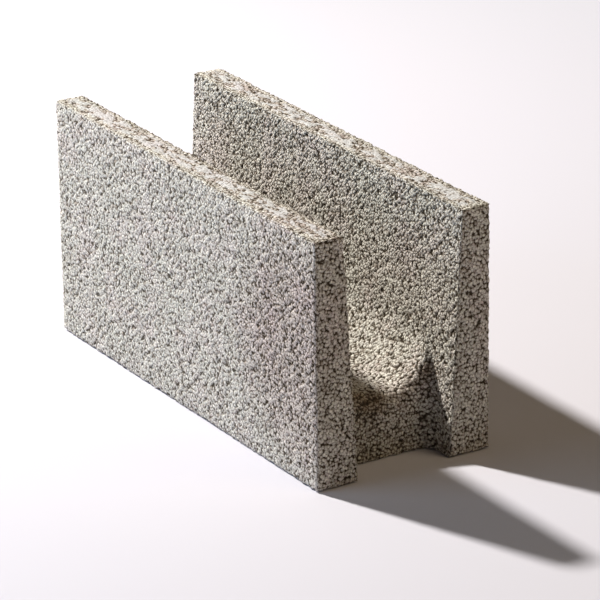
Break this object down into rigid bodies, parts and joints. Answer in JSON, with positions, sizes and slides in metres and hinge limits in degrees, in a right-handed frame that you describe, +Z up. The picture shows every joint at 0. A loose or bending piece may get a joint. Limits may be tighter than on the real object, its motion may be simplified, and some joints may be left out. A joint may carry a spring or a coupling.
{
  "type": "concrete channel block",
  "caption": "Trough-shaped concrete masonry block with drafted side walls, a half-round channel along its length and a web set back at the ends.",
  "frame": {"origin": "centre of the underside, on the surface that the block stands on", "axes": "+X along the channel (the block's length), +Y across the wall's thickness, +Z up out of the channel's mouth"},
  "size_m": [0.5, 0.195, 0.25],
  "materials": {
    "concrete": "open-textured pressed concrete: pale grey aggregate grains with dark pores between them, matt and rough"
  },
  "bodies": {
    "root": {"channel_block": "concrete"}
  },
  "joints": []
}
